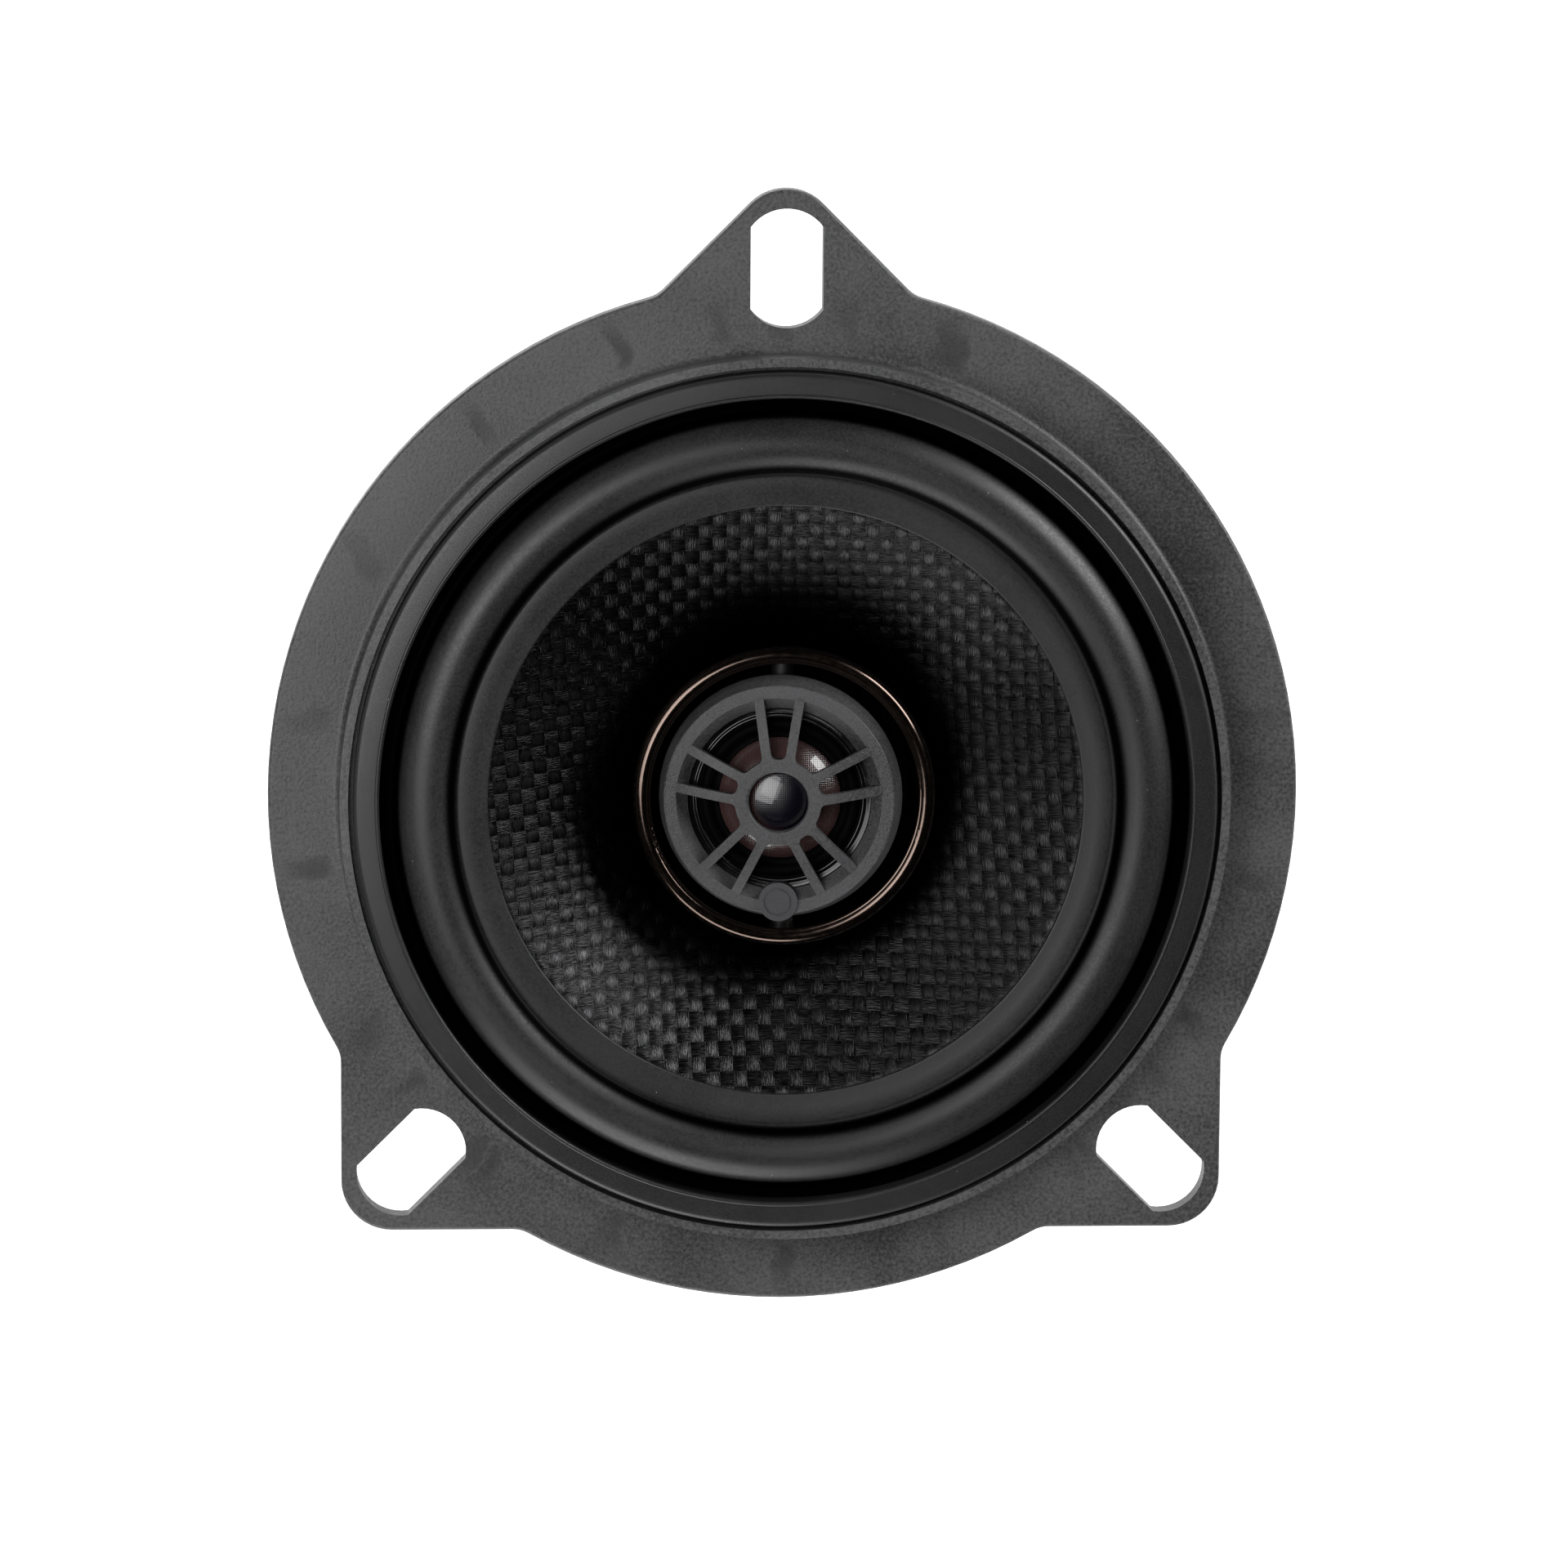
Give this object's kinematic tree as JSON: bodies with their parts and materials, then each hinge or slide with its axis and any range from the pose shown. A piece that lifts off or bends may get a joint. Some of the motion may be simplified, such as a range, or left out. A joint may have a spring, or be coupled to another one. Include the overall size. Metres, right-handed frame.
{
  "type": "coaxial car speaker",
  "caption": "Round coaxial car speaker: woven cone with rubber surround, slotted mounting ears and a swivelling dome tweeter pod on a centre post.",
  "frame": {"origin": "where the sound axis crosses the rear face of the flange, which lies on the door panel", "axes": "+Z along the sound axis out of the front, +Y towards the single top ear, +X to the viewer's right"},
  "size_m": [0.127, 0.1382, 0.0535],
  "materials": {
    "basket_plastic": "fine-grained satin charcoal",
    "front_gasket": "satin black",
    "foam": "matte open-cell foam",
    "plated_steel": "zinc plated",
    "ferrite": "matte ceramic ferrite",
    "screw_steel": "zinc plated",
    "board": "brown phenolic board",
    "brass_tab": "tinned brass",
    "rivet_brass": "satin",
    "capacitor_sleeve": "dark blue shrink sleeve",
    "adhesive": "glossy hot-melt",
    "wire_black": "black insulation",
    "wire_grey": "grey insulation",
    "bare_lead": "tinned wire",
    "post_plastic": "satin black",
    "cone_cloth": "glossy woven glass fibre",
    "surround_rubber": "smooth satin butyl",
    "spider_cloth": "resin-dipped cotton",
    "former": "foil",
    "copper": "enamelled copper winding",
    "braid": "braided tinsel",
    "cup_nickel": "dark nickel satin gloss",
    "pin_steel": "bright",
    "friction_rubber": "matte",
    "pod_plastic": "fine-grained dark grey",
    "badge": "plain polished disc",
    "face_gloss": "gloss black",
    "pot_steel": "plated",
    "neodymium": "nickel plated",
    "silk": "coated silk, wine-black"
  },
  "bodies": {
    "frame": {"basket": "basket_plastic", "front_gasket_ring": "front_gasket", "rear_foam_seal": "foam", "top_plate": "plated_steel", "ferrite_magnet": "ferrite", "pole_yoke": "plated_steel", "plate_screws": "screw_steel", "terminal_board": "board", "positive_tab": "brass_tab", "negative_tab": "brass_tab", "tab_rivets": "rivet_brass", "crossover_capacitor": "capacitor_sleeve", "capacitor_adhesive": "adhesive", "capacitor_lead": "bare_lead", "tweeter_wire_positive": "wire_grey", "tweeter_wire_negative": "wire_black", "tweeter_post": "post_plastic", "post_nut": "screw_steel", "cup_retaining_ring": "pin_steel"},
    "cone_assembly": {"cone": "cone_cloth", "surround": "surround_rubber", "spider": "spider_cloth", "coil_former": "former", "voice_coil": "copper", "lead_pads": "bare_lead", "tinsel_lead_positive": "braid", "tinsel_lead_negative": "braid"},
    "tweeter_cup_body": {"tweeter_cup": "cup_nickel", "tilt_pins": "pin_steel"},
    "tweeter_pod": {"pod_shell": "pod_plastic", "tweeter_grille": "pod_plastic", "badge_disc": "badge", "clamp_ring": "face_gloss", "tweeter_pot": "pot_steel", "tweeter_magnet": "neodymium", "tweeter_pole_disc": "pot_steel", "tilt_friction_rings": "friction_rubber", "pod_lead_loops": "wire_black"},
    "tweeter_diaphragm": {"silk_dome": "silk", "dome_surround": "silk", "dome_coil_former": "former", "dome_coil": "copper"}
  },
  "joints": [
    {"name": "cone_travel", "type": "slide", "parent": "frame", "child": "cone_assembly", "axis": [0, 0, 1], "range_m": [-0.0025, 0.0025], "stiffness_N_per_m": 1500, "deforming": ["surround", "spider", "tinsel_lead_positive", "tinsel_lead_negative"]},
    {"name": "cup_turn", "type": "hinge", "parent": "frame", "child": "tweeter_cup_body", "pos_m": [0, 0, 0], "axis": [0, 0, 1], "range_deg": [-175, 175]},
    {"name": "pod_tilt", "type": "hinge", "parent": "tweeter_cup_body", "child": "tweeter_pod", "pos_m": [0, 0, -0.001], "axis": [0, 1, 0], "range_deg": [-4, 16], "deforming": ["pod_lead_loops"]},
    {"name": "dome_travel", "type": "slide", "parent": "tweeter_pod", "child": "tweeter_diaphragm", "axis": [-0.1045, 0, 0.9945], "range_m": [-0.0003, 0.0003], "stiffness_N_per_m": 2000, "deforming": ["dome_surround"]}
  ]
}
